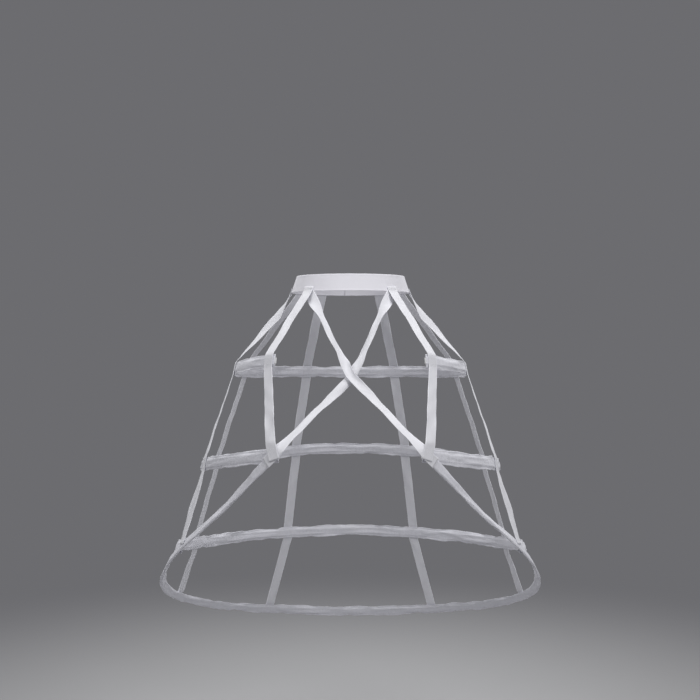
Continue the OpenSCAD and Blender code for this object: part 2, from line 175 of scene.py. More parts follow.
# Length of casing or tape held flat on each side of a joint, and the length over which it loosens again
JOINT_MARGIN = 0.003
JOINT_HALF = TAPE_WIDTH / 2 + JOINT_MARGIN
LONG_JOINT_HALF = 0.042
JOINT_RAMP = 0.016
# Length each way over which the cross tapes curl up where they cross
CURL_REACH = 0.045
# Share of that curl which every strip has, so that its radius can be worked out
LEAST_CURL = 0.02
# Distance from a casing's middle to the outer rows that sew a tape to it, and from one row to the next
TAPE_ROW = 0.0105
TAPE_ROW_PITCH = 0.004
# Places round a section, in degrees from its upper edge, where a row of stitches runs
CHANNEL_SEAMS = (52.5, 127.5, 232.5, 307.5)
JOINT_SEAMS = (210, 330)
TAPE_SEAMS = (30, 150)
# Angle in radians by which a point may miss such a place
TURN_SLACK = 0.02
# Least mean of the marks at an edge's two ends for the edge to be sewn
SEWN_MARK = 0.9
# Distance from the bone's channel to the rows of stitches that close it
SEAM_MARGIN = 0.0013
# Distance from the channel over which a casing thins to its two sewn layers
SEAM_FADE = 0.004
# Width added to each side of the bone's channel, so that its rounded edges clear the corners of the tips
CHANNEL_EASE = 0.0005
# How steeply the faces of a section rise from its edges
CASING_STEEPNESS = 3
STRIP_STEEPNESS = 4
# Steps through the noise, so that two edges, two faces and the margins don't wave alike
EDGE_STEP = 3.0
FACE_STEP = 3.0
MARGIN_STEP = 9.0
# Share of their depth by which creases are lifted, and the one at which the deepest are cut off
CREASE_LIFT = 0.2
CREASE_FLOOR = -0.2
# Firm edges of the tapes and the band: their width, and the thickness between them as a share of theirs
TAPE_EDGE = 0.0025
TAPE_BODY_SHARE = 0.7
BAND_EDGE = 0.0035
BAND_BODY_SHARE = 0.8
# Share of a firm edge's width that has its full thickness
FIRM_SHARE = 0.6
# Distances from a strip's edge between which its woven edge, painted lighter as a highlight, gives way to
# the weave
TAPE_SELVAGE = (0.0012, 0.0022)
BAND_SELVAGE = (0.0015, 0.003)
# Marks along a rail: no sewing, rows along the piece, a row across it
OPEN = 0
SEWN_ALONG = 1
SEWN_ACROSS = 2

# The photograph's view: metres, pixels of its square frame, and millimetres of the sensor
PHOTO_SIZE = 700
PHOTO_FOCAL = 1040
PHOTO_AXIS = (350.5, 353.0)
CAMERA_PLACE = (0, -2.184, -0.143)
SENSOR_WIDTH = 36
# The floor: its drop below the waist, its radius and sides, and the distances between which it fades
FLOOR_DROP = 1.05
FLOOR_RADIUS = 14.0
FLOOR_SIDES = 96
FLOOR_FADE = (0.3, 2.2)
# The lamps: how wide they are, where each stands and the setting that holds its power
LAMP_SIZE = 1.0
LAMPS = {
    "key_lamp": ((1.2, -1.5, 0.9), "key_power"),
    "fill_lamp": ((-1.3, -1.2, 0.9), "fill_power"),
    "top_lamp": ((0.1, -0.3, 1.9), "top_power"),
    "back_lamp_left": ((-1.3, 1.7, 1.1), "back_power"),
    "back_lamp_right": ((1.3, 1.7, 1.1), "back_power"),
}

# Columns of a hoop's knots
ANGLE, RADIUS, HEIGHT, LEAN, CLOTH_HEIGHT = range(5)
# Places of a colour mixer's sockets, whose names aren't unique
MIX_SHARE = 0
MIX_FIRST = 6
MIX_SECOND = 7
MIX_RESULT = 2

Frame = namedtuple("Frame", "point along out up")
Rail = namedtuple("Rail", "frame along height loose sewn curl")
Station = namedtuple("Station", "point look")


def unit(vectors):
    return vectors / np.linalg.norm(vectors, axis=-1, keepdims=True)


def dot(a, b):
    return np.sum(a * b, axis=-1, keepdims=True)


def square_to(vectors, axis):
    """The vectors turned square to an axis, at unit length."""
    return unit(vectors - axis * dot(axis, vectors))


def mix(a, b, share):
    return a + (b - a) * share


def smooth(share):
    share = np.clip(share, 0, 1)
    return share * share * (3 - 2 * share)


def sine(angle):
    return np.sin(np.radians(angle))


def cosine(angle):
    return np.cos(np.radians(angle))


def in_frame(place, out, up):
    """A point some way out from a place on a hoop, and some way up."""
    return place.point + place.out * out + place.up * up


class Hoop:
    """A hoop through knots of angle, radius, height, lean and casing height, on both sides alike."""

    def __init__(self, *knots):
        self.knots = np.array(knots, float)
        angles = self.knots[:, ANGLE]
        steps = np.diff(self.knots, axis=0) / np.diff(angles)[:, None]
        self.slopes = np.zeros_like(self.knots)
        self.slopes[-1] = steps[-1]
        for i in range(1, len(knots) - 1):
            share = (angles[i] - angles[i - 1]) / (angles[i + 1] - angles[i - 1])
            self.slopes[i] = mix(steps[i - 1], steps[i], share)

    def knot(self, angle):
        """The hoop's sizes at an angle, on smooth curves from knot to knot."""
        angle = np.abs(np.asarray(angle, float))
        starts = self.knots[:, ANGLE]
        i = np.clip(np.searchsorted(starts, angle, side="left") - 1, 0, len(starts) - 2)
        span = (starts[i + 1] - starts[i])[..., None]
        s = (angle - starts[i])[..., None] / span
        return (
            self.knots[i] * (1 - 3 * s**2 + 2 * s**3)
            + self.slopes[i] * span * (s - 2 * s**2 + s**3)
            + self.knots[i + 1] * (3 * s**2 - 2 * s**3)
            + self.slopes[i + 1] * span * (s**3 - s**2)
        )

    def point(self, angle):
        knot = self.knot(angle)
        radius = knot[..., RADIUS]
        return np.stack([radius * sine(angle), radius * cosine(angle), knot[..., HEIGHT]], axis=-1)

    def frame(self, angle):
        """The hoop's point at an angle, with the ways along it, out of its face and up its face."""
        lean = self.knot(angle)[..., LEAN]
        along = unit(self.point(angle + PROBE) - self.point(angle - PROBE))
        look = [sine(angle) * cosine(lean), cosine(angle) * cosine(lean), sine(lean)]
        out = square_to(np.stack(look, axis=-1), along)
        return Frame(self.point(angle), along, out, np.cross(along, out))

    def degrees_of(self, angle, length):
        """The angle that a short length along the hoop takes up."""
        return length * 2 * PROBE / np.linalg.norm(self.point(angle + PROBE) - self.point(angle - PROBE))

    def end_past(self, length):
        last = self.knots[-1, ANGLE]
        return last + self.degrees_of(last, length)


def knot_point(knot):
    across = knot[RADIUS] * sine(knot[ANGLE])
    return np.array([across, knot[RADIUS] * cosine(knot[ANGLE]), knot[HEIGHT]])


def angle_of(point):
    return math.degrees(math.atan2(point[0], point[1]))


def rim_hoop():
    """The rim: low at the back, with front legs that rise to the middle hoop's ends."""
    start = np.array([MIDDLE_END, MIDDLE_RADIUS + CASING_SEAT, -MIDDLE_END_DROP, MIDDLE_LEAN, DRAWN_HEIGHT])
    low = np.array([LOWER_END, LOWER_END_RADIUS, -LOWER_END_DROP, LOWER_END_LEAN, DRAWN_HEIGHT])
    middle = (knot_point(start) + knot_point(low)) / 2
    radius = max(math.hypot(middle[0], middle[1]), start[RADIUS]) + LEG_BOW
    leg = np.array([angle_of(middle), radius, middle[2] - LEG_SAG, LEG_LEAN, DRAWN_HEIGHT])
    share = RIM_FLAT / np.linalg.norm(knot_point(leg) - knot_point(start))
    top = mix(start, leg, share)
    top[LEAN] = MIDDLE_LEAN
    back = [BACK, RIM_BACK_RADIUS, -RIM_BACK_DROP, RIM_LEAN, CASING_HEIGHT]
    side = [RIM_SIDE, RIM_SIDE_RADIUS, -RIM_SIDE_DROP, RIM_SIDE_LEAN, DRAWN_HEIGHT]
    return Hoop(back, side, low, leg, top, start)


def ends_on_rim(start, rim, angle):
    """The last two knots of a hoop that comes from a knot and is sewn to the inside of the rim."""
    place = rim.frame(angle)
    point = in_frame(place, -CASING_SEAT, 0)
    ray = np.array([sine(angle), cosine(angle), 0])
    radius = math.hypot(point[0], point[1])
    lean = math.degrees(math.atan2(place.out[2], float(place.out @ ray)))
    end = np.array([angle_of(point), radius, point[2], lean, CASING_HEIGHT])
    share = HOOP_EVEN / (radius * math.radians(end[ANGLE] - start[ANGLE]))
    before = mix(end, np.array(start, float), share)
    inside_rim = rim.knot(before[ANGLE])[RADIUS] - CASING_SEAT
    return [before[ANGLE], min(radius, inside_rim), before[HEIGHT], lean, CASING_HEIGHT], end


RIM = rim_hoop()
UPPER = Hoop(
    [BACK, UPPER_RADIUS, -UPPER_BACK_DROP, UPPER_LEAN, CASING_HEIGHT],
    [SIDE, UPPER_RADIUS, -UPPER_SIDE_DROP, UPPER_LEAN, CASING_HEIGHT],
    [UPPER_END, UPPER_RADIUS, -UPPER_END_DROP, UPPER_LEAN, CASING_HEIGHT],
)
MIDDLE_SIDE_KNOT = [SIDE, MIDDLE_RADIUS, -MIDDLE_SIDE_DROP, MIDDLE_LEAN, CASING_HEIGHT]
MIDDLE = Hoop(
    [BACK, MIDDLE_RADIUS, -MIDDLE_BACK_DROP, MIDDLE_LEAN, CASING_HEIGHT],
    MIDDLE_SIDE_KNOT,
    *ends_on_rim(MIDDLE_SIDE_KNOT, RIM, MIDDLE_END),
)
LOWER_SIDE_KNOT = [SIDE_BACK_HOOPS, LOWER_RADIUS, -LOWER_SIDE_DROP, LOWER_LEAN, CASING_HEIGHT]
LOWER = Hoop(
    [BACK, LOWER_RADIUS, -LOWER_BACK_DROP, LOWER_LEAN, CASING_HEIGHT],
    LOWER_SIDE_KNOT,
    *ends_on_rim(LOWER_SIDE_KNOT, RIM, LOWER_END),
)

# Each casing: its hoop, the length past its last knot, its short joints and its long ones, on both sides
CASINGS = {
    "upper_hoop_casing": (
        UPPER, UPPER_PAST, (BACK_TAPE_HOOPS, SIDE_BACK_HOOPS, SIDE_TAPE_UPPER, UPPER_END), (),
    ),
    "middle_hoop_casing": (
        MIDDLE, MIDDLE_PAST, (BACK_TAPE_HOOPS, SIDE_BACK_HOOPS, SIDE_TAPE_MIDDLE), (MIDDLE_END,),
    ),
    "lower_hoop_casing": (LOWER, LOWER_PAST, (BACK_TAPE_HOOPS, SIDE_BACK_HOOPS), (LOWER_END,)),
    "rim_casing": (RIM, RIM_PAST, (BACK_TAPE_RIM, SIDE_BACK_HOOPS), (LOWER_END, MIDDLE_END)),
}


def lengths_along(points):
    steps = np.linalg.norm(np.diff(points, axis=0), axis=1)
    return np.concatenate([[0], np.cumsum(steps)])


def even_stations(length):
    return np.linspace(0, length, round(length / RAIL_STEP) + 1)


def casing_rail(hoop, past, joints, long_joints):
    """The line that a casing follows, loose between its joints and flat at them."""
    end = hoop.end_past(past)
    fine = np.linspace(-end, end, FINE_POINTS)
    lengths = lengths_along(hoop.point(fine))
    along = even_stations(lengths[-1])
    angles = np.interp(along, lengths, fine)
    loose = np.ones_like(along)
    sewn = np.full_like(along, OPEN)
    for half, places in ((JOINT_HALF, joints), (LONG_JOINT_HALF, long_joints)):
        for place in places:
            for side in SIDES.values():
                gap = np.abs(along - np.interp(side * place, fine, lengths))
                loose *= smooth((gap - half) / JOINT_RAMP)
                sewn[gap < TAPE_WIDTH / 2] = SEWN_ALONG
    height = hoop.knot(angles)[:, CLOTH_HEIGHT]
    return Rail(hoop.frame(angles), along, height, loose, sewn, np.zeros_like(along))


def eased(values, radius):
    """Values along a rail, averaged over a radius, with their ends kept in place."""
    reach = max(1, round(EASE_REACH * radius / RAIL_STEP))
    offsets = np.arange(-reach, reach + 1)
    weights = np.exp(-((offsets * RAIL_STEP / radius) ** 2) / 2)
    weights /= weights.sum()
    before = 2 * values[0] - values[reach:0:-1]
    after = 2 * values[-1] - values[-2:-reach - 2:-1]
    padded = np.concatenate([before, values, after])
    return np.stack([np.convolve(column, weights, mode="valid") for column in padded.T], axis=1)


def tape_rail(stations, sewn_places, crossed_places, curl_way):
    """The line that a tape follows through stations of a point and the way its face looks."""
    points = np.array([station.point for station in stations])
    looks = np.array([station.look for station in stations])
    lengths = lengths_along(points)
    along = even_stations(lengths[-1])
    line = np.stack([np.interp(along, lengths, column) for column in points.T], axis=1)
    look = np.stack([np.interp(along, lengths, column) for column in looks.T], axis=1)
    line = eased(line, TAPE_EASE)
    run = unit(np.gradient(line, axis=0))
    out = square_to(eased(unit(look), TURN_EASE), run)
    sewn = np.full_like(along, OPEN)
    band_end = np.searchsorted(along, TAPE_SEWN - TAPE_ROW_PITCH)
    sewn[1:band_end] = SEWN_ALONG
    sewn[[1, band_end]] = SEWN_ACROSS
    for middle in sewn_places:
        for offset in (-TAPE_ROW, TAPE_ROW_PITCH - TAPE_ROW, TAPE_ROW - TAPE_ROW_PITCH, TAPE_ROW):
            if middle + offset < along[-1] - RAIL_STEP:
                sewn[np.argmin(np.abs(along - middle - offset))] = SEWN_ACROSS
    loose = np.ones_like(along)
    for middle in [0, *sewn_places, *crossed_places]:
        loose *= smooth((np.abs(along - middle) - JOINT_HALF) / JOINT_RAMP)
    curl = np.full_like(along, LEAST_CURL)
    for middle in crossed_places:
        curl += np.exp(-(((along - middle) / CURL_REACH) ** 2) / 2)
    place = Frame(line, run, out, np.cross(run, out))
    return Rail(place, along, np.full_like(along, TAPE_WIDTH), loose, sewn, curl_way * curl)


def over_casing(hoop, angle):
    """Stations of a tape at the upper and the lower edge of a casing that it lies over."""
    place = hoop.frame(angle)
    return [Station(in_frame(place, TAPE_SEAT, edge * CASING_HEIGHT / 2), place.out) for edge in (1, -1)]


def onto_casing(hoop, angle, start, layer, past):
    """Stations of a tape's end, sewn onto a casing on its way from a start, in a layer over others."""
    place = hoop.frame(angle)
    middle = in_frame(place, TAPE_SEAT + layer * TAPE_LAYER, 0)
    way = square_to(middle - start, place.out)
    first = middle - way * (CASING_HEIGHT + layer * TAPE_WIDTH) / 2
    return [Station(first, place.out), Station(middle + way * past, place.out)]


def band_point(angle, z, out):
    """A point of the waistband's flared oval, out from its inner face."""
    spread = out - z * BAND_SLOPE
    x = (WAIST_WIDTH / 2 + spread) * sine(angle)
    y = (WAIST_DEPTH / 2 + spread) * cosine(angle)
    return np.stack([x, y, z + 0 * x], axis=-1)


def band_out(angle):
    """The way that the waistband's outer face looks."""
    flat = unit(np.array([sine(angle) / WAIST_WIDTH, cosine(angle) / WAIST_DEPTH, 0]))
    return unit(flat + np.array([0, 0, BAND_SLOPE]))


def on_band(angle, layer):
    """Stations of a tape's upper end, sewn to the outside of the waistband in a layer over others."""
    out = band_out(angle)
    seat = SEWN_GAP + TAPE_THICKNESS / 2 + layer * TAPE_LAYER
    heights = (TAPE_SEWN - BAND_HEIGHT / 2, -BAND_HEIGHT / 2)
    return [Station(band_point(angle, z, BAND_THICKNESS) + out * seat, out) for z in heights]


def cross_foot(side):
    """Stations of a cross tape's end, which turns down along the rim from its front end."""
    place = RIM.frame(side * MIDDLE_END)
    low = RIM.frame(side * (MIDDLE_END - RIM.degrees_of(MIDDLE_END, TAPE_WIDTH)))
    middle = in_frame(place, TAPE_SEAT, 0)
    way = square_to(np.array([-middle[0], 0, -CROSS_DROP - middle[2]]), place.out)
    return [
        Station(middle + way * CROSS_FLAT, place.out),
        Station(middle, place.out),
        Station(in_frame(low, TAPE_SEAT, 0), low.out),
    ]


def cross_stations(side):
    """A cross tape, which starts on one side of the waist and ends on the rim's other side."""
    top_point = on_band(FRONT_TAPE_WAIST, 0)[1].point
    end_point = cross_foot(RIGHT)[0].point
    share = (CROSS_DROP + top_point[2]) / (top_point[2] - end_point[2])
    crossing = np.array([0, mix(top_point[1], end_point[1], share), -CROSS_DROP])
    out = unit(np.array([0, end_point[2] - top_point[2], top_point[1] - end_point[1]]))
    over = crossing - side * out * TAPE_LAYER / 2
    top = on_band(side * FRONT_TAPE_WAIST, 0)
    start = top[1].point
    foot = cross_foot(-side)
    end = foot[0].point
    way_up = unit(start - crossing)
    way_down = unit(end - crossing)
    turned = out * cosine(CROSS_TAPE_TWIST) - side * np.array([1, 0, 0]) * sine(CROSS_TAPE_TWIST)
    upwards = side * np.cross(way_down, out)
    leg_turned = out * cosine(CROSS_LEG_TWIST) + upwards * sine(CROSS_LEG_TWIST)
    meeting = [over + way * TAPE_WIDTH for way in (way_up, np.zeros(3), way_down)]
    return [
        *top,
        Station(mix(start, meeting[0], CROSS_HELD_SHARE), top[1].look),
        *[Station(mix(start, meeting[0], share), turned) for share in CROSS_TURN_SHARES],
        *[Station(point, out) for point in meeting],
        *[Station(mix(meeting[2], end, share), leg_turned) for share in CROSS_TURN_SHARES],
        *foot,
    ]


def side_stations(side):
    """A side tape, which turns towards the front below the waist and again above the rim."""
    front = np.array([0, -1, 0])
    top = on_band(side * SIDE_TAPE_WAIST, 0)
    upper = over_casing(UPPER, side * SIDE_TAPE_UPPER)
    middle = over_casing(MIDDLE, side * SIDE_TAPE_MIDDLE)
    foot = onto_casing(RIM, side * LOWER_END, middle[1].point, 0, SIDE_TAPE_PAST)
    flat = unit(mix(top[1].look, upper[0].look, SIDE_TURN_SHARE))
    turned = flat * cosine(SIDE_TAPE_TWIST) + front * sine(SIDE_TAPE_TWIST)
    tuck = TAPE_WIDTH / 2 * sine(SIDE_TAPE_TWIST)
    turn = Station(mix(top[1].point, upper[0].point, SIDE_TURN_SHARE) - flat * tuck, turned)
    leg_flat = unit(mix(middle[1].look, foot[0].look, SIDE_LEG_SHARE))
    leg_turned = leg_flat * cosine(SIDE_LEG_TWIST) + front * sine(SIDE_LEG_TWIST)
    leg_turn = Station(mix(middle[1].point, foot[0].point, SIDE_LEG_SHARE), leg_turned)
    return [*top, turn, *upper, *middle, leg_turn, *foot]


def front_stations(side):
    """A front tape, which is sewn over a cross tape at the waist and at the rim."""
    upper = over_casing(UPPER, side * UPPER_END)
    foot = onto_casing(RIM, side * MIDDLE_END, upper[1].point, 1, TAPE_PAST)
    return [*on_band(side * FRONT_TAPE_WAIST, 1), *upper, *foot]


def hanging_stations(side, waist, hoops, rim):
    """A tape that hangs over all three hoops to the rim."""
    lower = over_casing(LOWER, side * hoops)
    return [
        *on_band(side * waist, 0),
        *over_casing(UPPER, side * hoops),
        *over_casing(MIDDLE, side * hoops),
        *lower,
        *onto_casing(RIM, side * rim, lower[1].point, 0, TAPE_PAST),
    ]


def side_back_stations(side):
    return hanging_stations(side, SIDE_BACK_WAIST, SIDE_BACK_HOOPS, SIDE_BACK_HOOPS)


def back_stations(side):
    return hanging_stations(side, BACK_TAPE_WAIST, BACK_TAPE_HOOPS, BACK_TAPE_RIM)


# Each kind of tape: its stations, which of them start on a casing or lie on a tape, and what it hangs over
TAPES = {
    "front_tape": (front_stations, (2,), (), ("upper_hoop_casing", "rim_casing")),
    "cross_tape": (cross_stations, (), (6,), ("rim_casing",)),
    "side_tape": (side_stations, (3, 5), (), ("upper_hoop_casing", "middle_hoop_casing", "rim_casing")),
    "side_back_tape": (side_back_stations, (2, 4, 6), (), tuple(CASINGS)),
    "back_tape": (back_stations, (2, 4, 6), (), tuple(CASINGS)),
}


def hanging_tape_rail(kind, side):
    """The rail of one tape, with the places where it is sewn to a casing or crosses a tape."""
    stations_of, over_casings, over_tapes, _ = TAPES[kind]
    stations = stations_of(side)
    lengths = lengths_along(np.array([station.point for station in stations]))
    middles = [lengths[i] + CASING_HEIGHT / 2 for i in over_casings]
    past = SIDE_TAPE_PAST if kind == "side_tape" else TAPE_PAST
    crossings = [lengths[i] for i in over_tapes]
    return tape_rail(stations, middles + [lengths[-1] - past], crossings, -side)


def band_rail():
    """The waistband's line, from its inner end round to the outer end that laps it at the centre back."""
    fine = np.linspace(-LAP_ANGLE / 2, 360 + LAP_ANGLE / 2, FINE_POINTS)
    lift_at = smooth((fine - 360 + LAP_ANGLE / 2 + LAP_RAMP) / LAP_RAMP)
    spread = BAND_THICKNESS / 2 + (BAND_THICKNESS + SEWN_GAP) * lift_at
    lengths = lengths_along(band_point(fine, 0, spread))
    along = even_stations(lengths[-1])
    angles = np.interp(along, lengths, fine)
    point = band_point(angles, 0, np.interp(along, lengths, spread))
    ray = np.stack([sine(angles), cosine(angles), 0 * angles], axis=1)
    up = np.array([0, 0, 1]) - ray * BAND_SLOPE
    # Two rows of stitches at each end of the lap
    sewn = np.full_like(along, OPEN)
    last = len(along) - 1
    lap = round(BAND_LAP / RAIL_STEP)
    sewn[[last - 1, last - 3, last - lap + 1, last - lap + 3]] = SEWN_ACROSS
    place = Frame(point, unit(np.gradient(point, axis=0)), ray, up)
    curl = np.full_like(along, LEAST_CURL)
    return Rail(place, along, np.full_like(along, BAND_HEIGHT), np.ones_like(along), sewn, curl)


class Nodes:
    """Short calls for the nodes that the trees below are made of."""

    def __init__(self, tree):
        self.tree = tree

    def add(self, kind, sockets=None, **settings):
        """A node with its settings, and with its sockets set or linked by name or place."""
        node = self.tree.nodes.new(kind)
        for name, value in settings.items():
            setattr(node, name, value)
        for key, value in (sockets or {}).items():
            self.feed(node.inputs[key], value)
        return node

    def made(self, kind, sockets=None, **settings):
        """The first output of such a node."""
        return self.add(kind, sockets, **settings).outputs[0]

    def feed(self, socket, value):
        if isinstance(value, bpy.types.NodeSocket):
            self.tree.links.new(value, socket)
        else:
            socket.default_value = value

    def math(self, operation, *values):
        return self.made("ShaderNodeMath", dict(enumerate(values)), operation=operation)

    def product(self, first, *others):
        for other in others:
            first = self.math("MULTIPLY", first, other)
        return first

    def total(self, first, *others):
        for other in others:
            first = self.math("ADD", first, other)
        return first

    def weighed(self, *parts):
        """The sum of values, each times its weight."""
        return self.total(*[self.product(value, weight) for value, weight in parts])

    def minus(self, a, b):
        return self.math("SUBTRACT", a, b)

    def over(self, a, b):
        return self.math("DIVIDE", a, b)

    def size(self, value):
        return self.math("ABSOLUTE", value)

    def share(self, wave):
        """A value from minus one to one, brought between nought and one."""
        return self.total(self.product(wave, 0.5), 0.5)

    def compare(self, a, b, slack=0.5):
        return self.math("COMPARE", a, b, slack)

    def combine(self, x, y, z):
        return self.made("ShaderNodeCombineXYZ", {"X": x, "Y": y, "Z": z})

    def moved(self, point, way, distance):
        """A point moved some distance along a vector."""
        step = self.made("ShaderNodeVectorMath", {0: way, "Scale": distance}, operation="SCALE")
        return self.made("ShaderNodeVectorMath", {0: point, 1: step}, operation="ADD")

    def eased(self, value, low, high):
        sockets = {"Value": value, "From Min": low, "From Max": high}
        return self.made("ShaderNodeMapRange", sockets, interpolation_type="SMOOTHSTEP")

    def between(self, share, low, high, start=0.0, stop=1.0):
        sockets = {"Value": share, "From Min": start, "From Max": stop, "To Min": low, "To Max": high}
        return self.made("ShaderNodeMapRange", sockets)

    def noise(self, vector, scale, detail=1.0):
        sockets = {"Vector": vector, "Scale": scale, "Detail": detail}
        return self.made("ShaderNodeTexNoise", sockets, noise_dimensions="3D", normalize=False)


def geometry_tree(name, numbers, counts=()):
    """A tree with a geometry and a material, and named inputs for its sizes and counts."""
    tree = bpy.data.node_groups.new(name, "GeometryNodeTree")
    sockets = [("Geometry", "Geometry"), ("Material", "Material")]
    sockets += [(label, "Float") for label in numbers]
    sockets += [(label, "Int") for label in counts]
    for label, kind in sockets:
        tree.interface.new_socket(label, in_out="INPUT", socket_type="NodeSocket" + kind)
    tree.interface.new_socket("Geometry", in_out="OUTPUT", socket_type="NodeSocketGeometry")
    nodes = Nodes(tree)
    return nodes, nodes.add("NodeGroupInput").outputs


def end_tree(nodes, given, geometry):
    """Ends a tree as a plain mesh in its material."""
    realized = nodes.made("GeometryNodeRealizeInstances", {"Geometry": geometry})
    finished = nodes.made("GeometryNodeSetMaterial", {"Geometry": realized, "Material": given["Material"]})
    nodes.add("NodeGroupOutput", {0: finished})
    return nodes.tree


def named(nodes, name, kind):
    return nodes.made("GeometryNodeInputNamedAttribute", {"Name": name}, data_type=kind)


def stored(nodes, geometry, name, value, kind):
    sockets = {"Geometry": geometry, "Name": name, "Value": value}
    return nodes.made("GeometryNodeStoreNamedAttribute", sockets, data_type=kind)


class Sections:
    """A grid whose rows become the sections of a strip, with what its rail says at each one."""

    def __init__(self, nodes, given, rows):
        self.nodes = nodes
        self.rail = given["Geometry"]
        columns = nodes.total(given["Ring points"], 1)
        self.grid = nodes.made("GeometryNodeMeshGrid", {"Vertices X": rows, "Vertices Y": columns})
        index = nodes.made("GeometryNodeInputIndex")
        self.row = nodes.math("FLOOR", nodes.over(nodes.total(index, 0.5), columns))
        column = nodes.minus(index, nodes.product(self.row, columns))
        self.turn = nodes.product(column, nodes.over(2 * math.pi, given["Ring points"]))
        self.height = nodes.math("COSINE", self.turn)
        self.face = nodes.math("SINE", self.turn)

    def on_rail(self, value, kind, station):
        sockets = {"Geometry": self.rail, "Value": value, "Index": station}
        return self.nodes.made("GeometryNodeSampleIndex", sockets, data_type=kind, clamp=True)

    def number(self, name, station):
        return self.on_rail(named(self.nodes, name, "FLOAT"), "FLOAT", station)

    def vector(self, name, station):
        return self.on_rail(named(self.nodes, name, "FLOAT_VECTOR"), "FLOAT_VECTOR", station)

    def flattened(self, steepness):
        """Where a point lies between the inner face and the outer one, so that both come out flat."""
        steep = self.nodes.product(self.face, steepness)
        return self.nodes.made("ShaderNodeClamp", {"Value": steep, "Min": -1, "Max": 1})

    def at_turn(self, degrees):
        return self.nodes.compare(self.turn, math.radians(degrees), TURN_SLACK)

    def at_turns(self, turns):
        return self.nodes.total(*[self.at_turn(turn) for turn in turns])

    def shaped(self, station, out, up, stitch, cloth):
        """The grid bent to its sections, closed, with its stitch rows and cloth coordinates stored."""
        nodes = self.nodes
        place = self.on_rail(nodes.made("GeometryNodeInputPosition"), "FLOAT_VECTOR", station)
        place = nodes.moved(place, self.vector("out", station), out)
        place = nodes.moved(place, self.vector("up", station), up)
        mesh = stored(nodes, self.grid, "stitch", stitch, "FLOAT")
        mesh = stored(nodes, mesh, "cloth_at", cloth, "FLOAT_VECTOR")
        mesh = nodes.made("GeometryNodeSetPosition", {"Geometry": mesh, "Position": place})
        return nodes.made("GeometryNodeMergeByDistance", {"Geometry": mesh, "Distance": MERGE_GAP})


def casing_tree():
    """Sleeve: cloth round a bone channel, with margins that wave and faces that crease between joints."""
    sizes = (
        "Thickness", "Seam thickness", "Channel width", "Channel thickness",
        "Edge rise", "Edge sway", "Wave length", "Crease depth", "Crease length", "Crease width",
    )
    nodes, given = geometry_tree("gathered casing", sizes, ("Ring points", "Rail points"))
    # The sections run along the outside, and then back through the channel
    rings = nodes.product(given["Rail points"], 2)
    sections = Sections(nodes, given, nodes.total(rings, 1))
    ring = nodes.math("FLOORED_MODULO", sections.row, rings)
    inside = nodes.math("GREATER_THAN", ring, nodes.minus(given["Rail points"], 0.5))
    back = nodes.minus(nodes.minus(rings, 1), ring)
    station = nodes.between(inside, ring, back)
    along = sections.number("along", station)
    loose = sections.number("loose", station)
    face = sections.flattened(CASING_STEEPNESS)
    edge = nodes.math("SIGN", sections.height)
    # Heights on the flat casing, over the bone as far as its seams and in the margins past them
    half_channel = nodes.product(given["Channel width"], 0.5)
    half_height = nodes.product(sections.number("height", station), 0.5)
    seam_share = cosine(CHANNEL_SEAMS[0])
    seam_up = nodes.total(half_channel, SEAM_MARGIN)
    share = nodes.size(sections.height)
    over_bone = nodes.between(share, 0.0, seam_up, 0.0, seam_share)
    in_margin = nodes.between(share, 0.0, nodes.minus(half_height, seam_up), seam_share, 1.0)
    flat_up = nodes.product(nodes.total(over_bone, in_margin), edge)
    reach = nodes.eased(nodes.size(flat_up), half_channel, half_height)
    thinning = nodes.eased(nodes.size(flat_up), half_channel, nodes.total(half_channel, SEAM_FADE))
    # Waves of the margins, up and down and in and out
    margin = nodes.minus(half_height, half_channel)
    waves = nodes.over(2, given["Wave length"])
    rise_at = nodes.combine(along, edge, 0)
    sway_at = nodes.combine(along, nodes.product(edge, EDGE_STEP), 1)
    rise = nodes.product(nodes.noise(rise_at, waves), given["Edge rise"], margin, loose, reach, edge)
    sway = nodes.product(nodes.noise(sway_at, waves), given["Edge sway"], loose, reach)
    # Creases of each face over the bone, and of both layers together in the margins
    fold_along = nodes.over(along, given["Crease length"])
    fold_up = nodes.over(flat_up, given["Crease width"])
    depth = nodes.product(given["Crease depth"], loose)
    over_folds = nodes.noise(nodes.combine(fold_along, fold_up, nodes.product(face, FACE_STEP)), 1.0, 0.0)
    crease = nodes.math("MAXIMUM", nodes.total(over_folds, CREASE_LIFT), CREASE_FLOOR)
    crease = nodes.product(crease, depth, nodes.minus(1, thinning))
    margin_folds = nodes.noise(nodes.combine(fold_along, fold_up, MARGIN_STEP), 1.0, 0.0)
    sway = nodes.total(sway, nodes.product(margin_folds, depth, thinning))
    # The outside and the channel, put together
    half_thick = nodes.between(
        thinning, nodes.product(given["Thickness"], 0.5), nodes.product(given["Seam thickness"], 0.5)
    )
    outer_out = nodes.total(nodes.product(nodes.total(half_thick, crease), face), sway)
    outer_up = nodes.total(flat_up, rise)
    inner_out = nodes.product(face, given["Channel thickness"], 0.5)
    inner_up = nodes.product(sections.height, nodes.total(half_channel, CHANNEL_EASE))
    # Rows of stitches that close the channel, and those that hold a tape at a joint
    joint = nodes.compare(sections.number("sewn", station), SEWN_ALONG)
    joint_rows = nodes.product(sections.at_turns(JOINT_SEAMS), joint)
    rows = nodes.total(sections.at_turns(CHANNEL_SEAMS), joint_rows)
    mesh = sections.shaped(
        station,
        nodes.between(inside, outer_out, inner_out),
        nodes.between(inside, outer_up, inner_up),
        nodes.product(rows, nodes.minus(1, inside)),
        nodes.combine(along, nodes.between(inside, flat_up, inner_up), face),
    )
    return end_tree(nodes, given, mesh)


